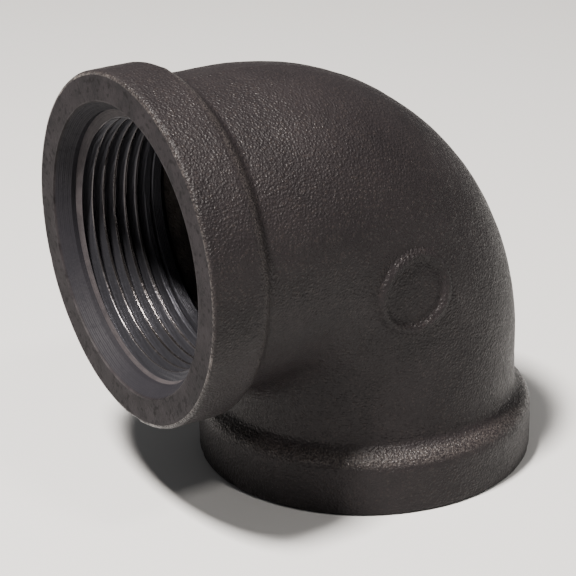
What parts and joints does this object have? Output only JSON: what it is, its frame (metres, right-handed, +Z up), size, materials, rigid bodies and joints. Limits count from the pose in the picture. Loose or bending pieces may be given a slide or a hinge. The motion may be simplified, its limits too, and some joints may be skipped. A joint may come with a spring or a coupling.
{
  "type": "pipe elbow",
  "caption": "Cast 90 degree pipe elbow with a banded female threaded port at each end and a smooth quarter-bend body, for joining two pipes at a right angle.",
  "frame": {"origin": "centre of the lower port's face, on that port's axis", "axes": "+Z up the lower port's axis into the fitting, side port opening towards -Y, X across the casting with X = 0 its mirror plane"},
  "size_m": [0.0624, 0.0805, 0.0805],
  "materials": {
    "black_malleable_iron": "as-cast black skin, sandy and slightly oiled, with machined port faces, countersinks and threads"
  },
  "bodies": {
    "root": {"elbow_casting": "black_malleable_iron"}
  },
  "joints": []
}
